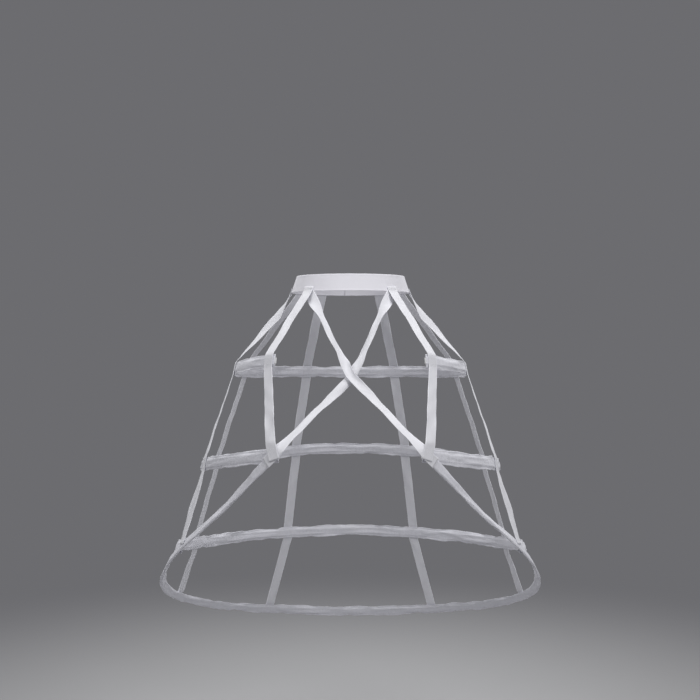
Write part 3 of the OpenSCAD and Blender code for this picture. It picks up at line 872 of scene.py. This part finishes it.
def strip_tree():
    """Woven strip with firm edges and closed ends, which cups between joints and curls at a crossing."""
    sizes = ("Width", "Thickness", "Edge width", "Body share", "Cupping", "Cup length", "Curl")
    nodes, given = geometry_tree("woven strip", sizes, ("Ring points", "Rail points"))
    # A section without thickness at each end, at the same station as its neighbour, closes the strip
    sections = Sections(nodes, given, nodes.total(given["Rail points"], 2))
    row = nodes.minus(sections.row, 1)
    last = nodes.minus(given["Rail points"], 1)
    station = nodes.math("MINIMUM", nodes.math("MAXIMUM", row, 0), last)
    in_body = nodes.compare(station, row)
    along = sections.number("along", station)
    loose = sections.number("loose", station)
    face = sections.flattened(STRIP_STEEPNESS)
    # Thickness, full at the firm edges and less between them
    half_width = nodes.product(given["Width"], 0.5)
    across = nodes.product(sections.height, half_width)
    firm = nodes.eased(
        nodes.size(across),
        nodes.minus(half_width, given["Edge width"]),
        nodes.minus(half_width, nodes.product(given["Edge width"], FIRM_SHARE)),
    )
    half_thick = nodes.product(given["Thickness"], 0.5, nodes.between(firm, given["Body share"], 1.0))
    layer = nodes.product(half_thick, face, in_body)
    # The cup, and the curl as an arc across the strip
    cups = nodes.noise(nodes.combine(along, 0, 0), nodes.over(1, given["Cup length"]))
    bow = nodes.minus(nodes.product(sections.height, sections.height), 0.5)
    cup = nodes.product(cups, bow, given["Cupping"], loose)
    curl = nodes.product(sections.number("curl", station), given["Curl"])
    bend = nodes.product(sections.height, curl)
    radius = nodes.over(half_width, curl)
    up = nodes.product(nodes.math("SINE", bend), nodes.minus(radius, layer))
    lift = nodes.product(nodes.minus(1, nodes.math("COSINE", bend)), radius)
    out = nodes.total(lift, nodes.product(layer, nodes.math("COSINE", bend)), cup)
    # Rows of stitches on the outer face, across the strip and along its edges
    sewn = sections.number("sewn", station)
    first, second = (math.radians(turn) for turn in TAPE_SEAMS)
    between_rows = nodes.compare(sections.turn, (first + second) / 2, (second - first) / 2 + TURN_SLACK)
    across_row = nodes.product(nodes.compare(sewn, SEWN_ACROSS), between_rows)
    along_row = nodes.product(nodes.compare(sewn, SEWN_ALONG), sections.at_turns(TAPE_SEAMS))
    stitch = nodes.product(nodes.total(across_row, along_row), in_body)
    mesh = sections.shaped(station, out, up, stitch, nodes.combine(along, across, face))
    return end_tree(nodes, given, mesh)


def stitch_tree():
    """Rows of stitches along the marked edges of a cloth piece, each a ball drawn out to its size."""
    nodes, given = geometry_tree("stitch rows", ("Stitch length", "Stitch pitch", "Thread thickness"))
    normal = nodes.made("GeometryNodeInputNormal")
    cloth = stored(nodes, given["Geometry"], "facing", normal, "FLOAT_VECTOR")
    marked = nodes.math("GREATER_THAN", named(nodes, "stitch", "FLOAT"), SEWN_MARK)
    lines = nodes.made("GeometryNodeMeshToCurve", {"Mesh": cloth, "Selection": marked})
    spacing = {"Curve": lines, "Length": given["Stitch pitch"]}
    points = nodes.made("GeometryNodeResampleCurve", spacing, mode="LENGTH")
    facing = named(nodes, "facing", "FLOAT_VECTOR")
    tangent = nodes.made("GeometryNodeInputTangent")
    lying = nodes.made("FunctionNodeAlignRotationToVector", {"Vector": tangent}, axis="X")
    facing_out = {"Rotation": lying, "Vector": facing}
    turn = nodes.made("FunctionNodeAlignRotationToVector", facing_out, axis="Z", pivot_axis="X")
    thread = nodes.made("GeometryNodeMeshIcoSphere", {"Radius": 0.5, "Subdivisions": 1})
    size = nodes.combine(given["Stitch length"], given["Thread thickness"], given["Thread thickness"])
    sockets = {"Points": points, "Instance": thread, "Rotation": turn, "Scale": size}
    return end_tree(nodes, given, nodes.made("GeometryNodeInstanceOnPoints", sockets))


def grown(name, mesh, tree, inputs):
    """A piece whose mesh a node tree makes out of another mesh."""
    piece = bpy.data.objects.new(name, mesh)
    bpy.context.scene.collection.objects.link(piece)
    modifier = piece.modifiers.new("make", "NODES")
    modifier.node_group = tree
    sockets = {item.name: item.identifier for item in tree.interface.items_tree if item.in_out == "INPUT"}
    for label, value in inputs.items():
        modifier[sockets[label]] = value
    depsgraph = bpy.context.evaluated_depsgraph_get()
    made = bpy.data.meshes.new_from_object(
        piece.evaluated_get(depsgraph), preserve_all_data_layers=True, depsgraph=depsgraph
    )
    piece.modifiers.clear()
    piece.data = made
    made.name = name
    made.shade_smooth()
    if not made.polygons:
        raise RuntimeError(f"{name} came out empty")
    return piece


def rail_mesh(name, rail):
    mesh = bpy.data.meshes.new(name + "_rail")
    mesh.from_pydata(rail.frame.point.tolist(), [], [])
    for label, vectors in (("out", rail.frame.out), ("up", rail.frame.up)):
        layer = mesh.attributes.new(label, "FLOAT_VECTOR", "POINT")
        layer.data.foreach_set("vector", np.ascontiguousarray(vectors, np.float32).ravel())
    for label in ("along", "height", "loose", "sewn", "curl"):
        layer = mesh.attributes.new(label, "FLOAT", "POINT")
        layer.data.foreach_set("value", np.ascontiguousarray(getattr(rail, label), np.float32))
    return mesh


def plain_material(name, colour, roughness):
    material = bpy.data.materials.new(name)
    material.use_nodes = True
    shader = material.node_tree.nodes["Principled BSDF"]
    shader.inputs["Base Color"].default_value = (*colour, 1)
    shader.inputs["Roughness"].default_value = roughness
    return material, Nodes(material.node_tree), shader


def tinted(nodes, shader, colour, shade, share):
    """Gives a shader its colour, darker by a shade where share is one."""
    dark = tuple(channel * shade for channel in colour)
    sockets = {MIX_SHARE: share, MIX_FIRST: (*colour, 1), MIX_SECOND: (*dark, 1)}
    mixer = nodes.add("ShaderNodeMix", sockets, data_type="RGBA")
    nodes.feed(shader.inputs["Base Color"], mixer.outputs[MIX_RESULT])


def bumped(nodes, shader, height, distance, strength):
    sockets = {"Height": height, "Distance": distance, "Strength": strength}
    nodes.feed(shader.inputs["Normal"], nodes.made("ShaderNodeBump", sockets))


def object_places(nodes):
    return nodes.add("ShaderNodeTexCoord").outputs["Object"]


def cloth_places(nodes):
    """Places along and across a piece of cloth, in metres."""
    node = nodes.add("ShaderNodeAttribute", attribute_name="cloth_at")
    parts = nodes.add("ShaderNodeSeparateXYZ", {0: node.outputs["Vector"]})
    return parts.outputs[0], parts.outputs[1]


def between_edges(nodes, across, width, selvage):
    """One on the body of a strip, and nought on its woven edges."""
    outer, inner = (width / 2 - inset for inset in selvage)
    return nodes.eased(nodes.size(across), outer, inner)


def ripple(nodes, place, pitch):
    """A wave from nought to one with a pitch in metres."""
    return nodes.share(nodes.math("SINE", nodes.product(place, 2 * math.pi / pitch)))


def soft_tone(nodes, scale):
    """A slow drift of tone over the whole piece, from nought to one."""
    return nodes.share(nodes.noise(object_places(nodes), scale, detail=2.0))


def cloth_finish(shader, sheen):
    shader.inputs["Sheen Weight"].default_value = sheen
    shader.inputs["Sheen Roughness"].default_value = 0.5
    shader.inputs["Specular IOR Level"].default_value = 0.25


def tape_material(look):
    """Herringbone twill, with painted shade in the weave's valleys and plain woven edges painted lighter as
    a highlight.
    """
    material, nodes, shader = plain_material("twill_tape", look.tape_colour, roughness=0.82)
    along, across = cloth_places(nodes)
    slant = nodes.total(along, nodes.size(across))
    twill = ripple(nodes, slant, look.twill_pitch)
    yarn = ripple(nodes, across, look.yarn_pitch)
    weave = nodes.weighed((twill, 0.7), (yarn, 0.3))
    body = between_edges(nodes, across, TAPE_WIDTH, TAPE_SELVAGE)
    # Painted shade: the weave's valleys are darkened, away from the edges.
    valley_shade = nodes.product(nodes.minus(1, weave), body)
    # Tone mixes painted shade in the valleys, a slow random drift, and a darker body that leaves the edges
    # as a painted highlight.
    tone = nodes.weighed((valley_shade, 0.55), (soft_tone(nodes, scale=9.0), 0.3), (body, 0.15))
    tinted(nodes, shader, look.tape_colour, shade=0.84, share=tone)
    bumped(nodes, shader, weave, distance=0.00014, strength=0.5)
    cloth_finish(shader, sheen=0.12)
    return material


def casing_material(look):
    """Plain woven cotton, with painted shade that greys it a little along its crumples."""
    material, nodes, shader = plain_material("casing_cotton", look.casing_colour, roughness=0.88)
    along, across = cloth_places(nodes)
    warp = ripple(nodes, along, look.yarn_pitch)
    weft = ripple(nodes, across, look.yarn_pitch)
    weave = nodes.size(nodes.minus(warp, weft))
    drawn_out = nodes.combine(along, nodes.product(across, 0.5), 0)
    # Crumple noise: bump relief, and painted shade where it is high.
    crumple_and_shade = nodes.noise(drawn_out, scale=160.0, detail=3.0)
    # Tone mixes the weave's pattern, a slow random drift, and painted shade along the crumples.
    tone = nodes.weighed((weave, 0.35), (soft_tone(nodes, scale=7.0), 0.4), (crumple_and_shade, 0.2))
    tinted(nodes, shader, look.casing_colour, shade=0.84, share=tone)
    height = nodes.total(nodes.product(weave, 0.25), crumple_and_shade)
    bumped(nodes, shader, height, distance=0.0006, strength=0.5)
    cloth_finish(shader, sheen=0.08)
    return material


def elastic_material(look):
    """Woven elastic: fine ribs along the band, crossed by close yarns, between two firm edges; painted
    shade in the ribs' valleys, and edges painted lighter as a highlight.
    """
    material, nodes, shader = plain_material("woven_elastic", look.elastic_colour, roughness=0.78)
    along, across = cloth_places(nodes)
    ribs = ripple(nodes, across, look.rib_pitch)
    yarn = ripple(nodes, along, look.yarn_pitch)
    weave = nodes.weighed((ribs, 0.65), (yarn, 0.35))
    body = between_edges(nodes, across, BAND_HEIGHT, BAND_SELVAGE)
    # Painted shade: the ribs' valleys are darkened, away from the edges.
    valley_shade = nodes.product(nodes.minus(1, weave), body)
    # Tone mixes painted shade in the valleys, a darker body that leaves the edges as a painted highlight,
    # and a slow random drift.
    tone = nodes.weighed((valley_shade, 0.5), (body, 0.3), (soft_tone(nodes, scale=12.0), 0.2))
    tinted(nodes, shader, look.elastic_colour, shade=0.86, share=tone)
    bumped(nodes, shader, weave, distance=0.0003, strength=0.6)
    cloth_finish(shader, sheen=0.12)
    return material


def thread_material(look):
    """Twisted sewing thread."""
    material, nodes, shader = plain_material("sewing_thread", look.thread_colour, roughness=0.6)
    strands = nodes.noise(object_places(nodes), scale=2500.0)
    tinted(nodes, shader, look.thread_colour, shade=0.8, share=nodes.share(strands))
    bumped(nodes, shader, strands, distance=0.0001, strength=0.5)
    return material


def bone_material(look):
    """White coating over spring steel, slightly uneven."""
    material, nodes, shader = plain_material("coated_steel", look.bone_colour, roughness=0.42)
    tone = soft_tone(nodes, scale=60.0)
    tinted(nodes, shader, look.bone_colour, shade=0.9, share=tone)
    bumped(nodes, shader, tone, distance=0.0002, strength=0.3)
    return material


def tip_material(look):
    """Dipped plastic with a soft gloss."""
    material, nodes, shader = plain_material("dipped_plastic", look.tip_colour, roughness=0.28)
    tone = soft_tone(nodes, scale=150.0)
    tinted(nodes, shader, look.tip_colour, shade=0.92, share=tone)
    bumped(nodes, shader, tone, distance=0.0002, strength=0.25)
    shader.inputs["Coat Weight"].default_value = 0.2
    return material


def colour_setting(name, description, default):
    return bpy.props.FloatVectorProperty(
        name=name, description=description, subtype="COLOR", min=0, max=1, default=default
    )


def length_setting(name, description, default, least=0.0):
    return bpy.props.FloatProperty(
        name=name, description=description, unit="LENGTH", default=default, min=least
    )


def power_setting(name, description, default):
    return bpy.props.FloatProperty(name=name, description=description, unit="POWER", default=default, min=0)


class ClothLook(bpy.types.PropertyGroup):
    """Colours and weaves of the cloth, thread and bones."""

    tape_colour: colour_setting("Tape", "Colour of the twill tapes", (0.82, 0.82, 0.87))
    casing_colour: colour_setting("Casing", "Colour of the cotton casings", (0.76, 0.76, 0.82))
    elastic_colour: colour_setting("Elastic", "Colour of the waistband", (0.83, 0.82, 0.88))
    thread_colour: colour_setting("Thread", "Colour of the stitches", (0.84, 0.84, 0.88))
    bone_colour: colour_setting("Bones", "Colour of the coated steel", (0.78, 0.78, 0.81))
    tip_colour: colour_setting("Tips", "Colour of the dipped ends", (0.86, 0.86, 0.88))
    twill_pitch: length_setting("Twill pitch", "Distance between two twill lines", 0.0016, 0.0005)
    yarn_pitch: length_setting("Yarn pitch", "Distance between two yarns", 0.0008, 0.0003)
    rib_pitch: length_setting("Rib pitch", "Distance between two ribs of the elastic", 0.0018, 0.0005)


class GatherSizes(bpy.types.PropertyGroup):
    """How the casings' cloth waves and creases between the tapes, and how the tapes cup and curl."""

    edge_rise: bpy.props.FloatProperty(
        name="Edge rise",
        description="Rise and fall of a casing's edges, as a share of their height over the bone",
        subtype="FACTOR", default=0.46, min=0, max=1,
    )
    edge_sway: length_setting("Edge sway", "Sway of a casing's edges in and out", 0.003)
    wave_length: length_setting("Wave length", "Distance between two waves of an edge", 0.085, 0.01)
    crease_depth: length_setting("Crease depth", "Depth of the creases along a casing", 0.0018)
    crease_length: length_setting("Crease length", "Length of a crease along the casing", 0.055, 0.005)
    crease_width: length_setting("Crease width", "Width of a crease across the casing", 0.010, 0.002)
    cupping: length_setting("Cupping", "How far a tape cups across its width", 0.005)
    cup_length: length_setting("Cup length", "Length over which a tape's cupping changes", 0.06, 0.01)
    curl: bpy.props.FloatProperty(
        name="Curl", description="Angle to which a cross tape's edges curl where the two cross",
        subtype="ANGLE", default=math.radians(60), min=math.radians(1), max=math.radians(120),
    )


class StitchSizes(bpy.types.PropertyGroup):
    """The sewing on casings, tapes and waistband."""

    length: length_setting("Stitch length", "Length of one stitch", 0.0024, 0.001)
    pitch: length_setting("Stitch pitch", "Distance from one stitch to the next", 0.0031, 0.001)
    thread: length_setting("Thread", "Thickness of the thread", 0.0005, 0.0001)


class StudioLook(bpy.types.PropertyGroup):
    """Floor, backdrop and lamps."""

    floor_colour: colour_setting("Floor", "Colour of the floor", (0.42, 0.42, 0.43))
    backdrop_colour: colour_setting("Backdrop", "Colour behind the object", (0.15, 0.15, 0.16))
    key_power: power_setting("Key lamp", "Power of the lamp in front on the right", 21)
    fill_power: power_setting("Fill lamp", "Power of the lamp in front on the left", 13)
    top_power: power_setting("Top lamp", "Power of the lamp above", 18)
    back_power: power_setting("Back lamps", "Power of each of the two lamps behind", 24)
    ambient: bpy.props.FloatProperty(
        name="Ambient", description="Strength of the light from all round", default=0.14, min=0
    )


class CrinolineSettings(bpy.types.PropertyGroup):
    """Everything that a user would change."""

    look: bpy.props.PointerProperty(type=ClothLook)
    gathers: bpy.props.PointerProperty(type=GatherSizes)
    stitches: bpy.props.PointerProperty(type=StitchSizes)
    studio: bpy.props.PointerProperty(type=StudioLook)


def settings():
    return bpy.context.scene.crinoline


def stitched(piece):
    """Sews the rows that a cloth piece marks, as a piece of their own."""
    tree = bpy.data.node_groups.get("stitch rows") or stitch_tree()
    sizes = settings().stitches
    inputs = {
        "Material": bpy.data.materials.get("sewing_thread") or thread_material(settings().look),
        "Stitch length": sizes.length,
        "Stitch pitch": sizes.pitch,
        "Thread thickness": sizes.thread,
    }
    stitches = grown(piece.name + "_stitches", piece.data.copy(), tree, inputs)
    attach(stitches, "root")
    return stitches


def sewn_up(name, node, rail, tree, sizes):
    """Makes a cloth piece along its rail, sews its rows, and hides the frame's part that it stands for."""
    piece = grown(name, rail_mesh(node, rail), tree, {**sizes, "Rail points": len(rail.along)})
    stitches = stitched(piece)
    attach(piece, "root")
    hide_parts(node)


class CRINOLINE_OT_casings(bpy.types.Operator):
    """Gathers a cotton casing round each hoop bone."""

    bl_idname = "crinoline.casings"
    bl_label = "Gathered casings"

    def execute(self, context):
        gathers = settings().gathers
        tree = casing_tree()
        sizes = {
            "Material": casing_material(settings().look),
            "Thickness": CASING_THICKNESS,
            "Seam thickness": 2 * FABRIC_THICKNESS,
            "Channel width": CHANNEL_WIDTH,
            "Channel thickness": CHANNEL_THICKNESS,
            "Edge rise": gathers.edge_rise,
            "Edge sway": gathers.edge_sway,
            "Wave length": gathers.wave_length,
            "Crease depth": gathers.crease_depth,
            "Crease length": gathers.crease_length,
            "Crease width": gathers.crease_width,
            "Ring points": CASING_RING,
        }
        for node, (hoop, past, joints, long_joints) in CASINGS.items():
            name = node.replace("_casing", "_sleeve")
            rail = casing_rail(hoop, past, joints, long_joints)
            sewn_up(name, node, rail, tree, sizes)
        return {"FINISHED"}


class CRINOLINE_OT_tapes(bpy.types.Operator):
    """Hangs the twill tapes from the waistband over the hoops."""

    bl_idname = "crinoline.tapes"
    bl_label = "Hanging tapes"

    def execute(self, context):
        gathers = settings().gathers
        tree = bpy.data.node_groups.get("woven strip") or strip_tree()
        sizes = {
            "Material": tape_material(settings().look),
            "Width": TAPE_WIDTH,
            "Thickness": TAPE_THICKNESS,
            "Edge width": TAPE_EDGE,
            "Body share": TAPE_BODY_SHARE,
            "Cupping": gathers.cupping,
            "Cup length": gathers.cup_length,
            "Curl": gathers.curl,
            "Ring points": TAPE_RING,
        }
        for kind, (_, _, _, hangs_over) in TAPES.items():
            for side_name, side in SIDES.items():
                name = f"{kind}_twill_{side_name}"
                node = f"{kind}_{side_name}"
                rail = hanging_tape_rail(kind, side)
                sewn_up(name, node, rail, tree, sizes)
        return {"FINISHED"}


class CRINOLINE_OT_waistband(bpy.types.Operator):
    """Rounds the elastic waistband and laps it at the centre back."""

    bl_idname = "crinoline.waistband"
    bl_label = "Elastic waistband"

    def execute(self, context):
        gathers = settings().gathers
        tree = bpy.data.node_groups.get("woven strip") or strip_tree()
        sizes = {
            "Material": elastic_material(settings().look),
            "Width": BAND_HEIGHT,
            "Thickness": BAND_THICKNESS,
            "Edge width": BAND_EDGE,
            "Body share": BAND_BODY_SHARE,
            "Cupping": 0.0,
            "Cup length": gathers.cup_length,
            "Curl": gathers.curl,
            "Ring points": BAND_RING,
        }
        sewn_up(
            "waist_elastic", "waistband", band_rail(), tree, sizes,
        )
        return {"FINISHED"}


class CRINOLINE_OT_bones(bpy.types.Operator):
    """Finishes the coated hoop bones and their dipped tips."""

    bl_idname = "crinoline.bones"
    bl_label = "Bones and tips"

    def execute(self, context):
        steel = bone_material(settings().look)
        plastic = tip_material(settings().look)
        for name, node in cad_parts.items():
            if name.endswith("_bone") or "_tip_" in name:
                node.data.materials.clear()
                node.data.materials.append(steel if name.endswith("_bone") else plastic)
        return {"FINISHED"}


def softbox(name, place, power):
    """A wide lamp that looks at the middle of the cage and stays out of sight."""
    lamp = bpy.data.lights.new(name, "AREA")
    lamp.shape = "DISK"
    lamp.size = LAMP_SIZE
    lamp.energy = power
    holder = bpy.data.objects.new(name, lamp)
    holder.location = place
    aim = Vector((0, 0, (CAD_BOX[0].z + CAD_BOX[1].z) / 2)) - Vector(place)
    holder.rotation_euler = aim.to_track_quat("-Z", "Y").to_euler()
    holder.visible_camera = False
    bpy.context.scene.collection.objects.link(holder)


def floor_piece(studio):
    """A wide round floor that fades into the backdrop's colour far out."""
    bpy.ops.mesh.primitive_circle_add(vertices=FLOOR_SIDES, radius=FLOOR_RADIUS, fill_type="NGON")
    floor = bpy.context.object
    floor.name = "floor"
    for vertex in floor.data.vertices:
        vertex.co.z = -FLOOR_DROP
    material, nodes, shader = plain_material("studio_floor", studio.floor_colour, roughness=0.9)
    shader.inputs["Specular IOR Level"].default_value = 0.1
    from_middle = {0: object_places(nodes), 1: (0, 0, -FLOOR_DROP)}
    distance = nodes.add("ShaderNodeVectorMath", from_middle, operation="DISTANCE").outputs["Value"]
    far = nodes.eased(distance, *FLOOR_FADE)
    glow = nodes.made("ShaderNodeEmission", {"Color": (*studio.backdrop_colour, 1), "Strength": 1.0})
    blend = nodes.made("ShaderNodeMixShader", {0: far, 1: shader.outputs[0], 2: glow})
    nodes.feed(nodes.tree.nodes["Material Output"].inputs["Surface"], blend)
    floor.data.materials.append(material)


def backdrop(studio):
    """The world: a plain backdrop to look at, and even light from all round."""
    world = bpy.data.worlds.new("studio")
    world.use_nodes = True
    bpy.context.scene.world = world
    nodes = Nodes(world.node_tree)
    shown = world.node_tree.nodes["Background"]
    shown.inputs["Color"].default_value = (*studio.backdrop_colour, 1)
    shown.inputs["Strength"].default_value = 1.0
    light = nodes.made("ShaderNodeBackground", {"Color": (1, 1, 1, 1), "Strength": studio.ambient})
    path = nodes.add("ShaderNodeLightPath").outputs
    seen = nodes.math("MAXIMUM", path["Is Camera Ray"], path["Is Glossy Ray"])
    seen = nodes.math("MAXIMUM", seen, path["Is Transmission Ray"])
    blend = nodes.made("ShaderNodeMixShader", {0: seen, 1: light, 2: shown.outputs[0]})
    nodes.feed(world.node_tree.nodes["World Output"].inputs["Surface"], blend)


def photo_camera():
    """The camera at the photograph's place, with its focal length and its small shift."""
    lens = bpy.data.cameras.new("photo_view")
    lens.sensor_width = SENSOR_WIDTH
    lens.lens = PHOTO_FOCAL / PHOTO_SIZE * SENSOR_WIDTH
    lens.shift_x = (PHOTO_SIZE / 2 - PHOTO_AXIS[0]) / PHOTO_SIZE
    lens.shift_y = (PHOTO_AXIS[1] - PHOTO_SIZE / 2) / PHOTO_SIZE
    camera = bpy.data.objects.new("photo_view", lens)
    camera.location = CAMERA_PLACE
    camera.rotation_euler = (math.pi / 2, 0, 0)
    bpy.context.scene.collection.objects.link(camera)
    bpy.context.scene.camera = camera


class CRINOLINE_OT_studio(bpy.types.Operator):
    """Sets the floor, the backdrop, the lamps and the camera."""

    bl_idname = "crinoline.studio"
    bl_label = "Studio"

    def execute(self, context):
        studio = settings().studio
        photo_camera()
        floor_piece(studio)
        backdrop(studio)
        for name, (place, power) in LAMPS.items():
            softbox(name, place, getattr(studio, power))
        context.scene.view_settings.view_transform = "Standard"
        return {"FINISHED"}


class CRINOLINE_PT_panel(bpy.types.Panel):
    """The cage's sizes, colours and steps."""

    bl_idname = "CRINOLINE_PT_panel"
    bl_label = "Crinoline cage"
    bl_space_type = "VIEW_3D"
    bl_region_type = "UI"
    bl_category = "Crinoline"

    def draw(self, context):
        for group in (settings().look, settings().gathers, settings().stitches, settings().studio):
            box = self.layout.box()
            for name in group.__annotations__:
                box.prop(group, name)
        for step in STEPS:
            self.layout.operator(step.bl_idname)


STEPS = (
    CRINOLINE_OT_casings,
    CRINOLINE_OT_tapes,
    CRINOLINE_OT_waistband,
    CRINOLINE_OT_bones,
    CRINOLINE_OT_studio,
)
CLASSES = (ClothLook, GatherSizes, StitchSizes, StudioLook, CrinolineSettings, *STEPS, CRINOLINE_PT_panel)


def register():
    for item in CLASSES:
        bpy.utils.register_class(item)
    bpy.types.Scene.crinoline = bpy.props.PointerProperty(type=CrinolineSettings)


def unregister():
    del bpy.types.Scene.crinoline
    for item in reversed(CLASSES):
        bpy.utils.unregister_class(item)


def main():
    register()
    bpy.ops.crinoline.casings()
    bpy.ops.crinoline.tapes()
    bpy.ops.crinoline.waistband()
    bpy.ops.crinoline.bones()
    bpy.ops.crinoline.studio()


if __name__ == "__main__":
    main()
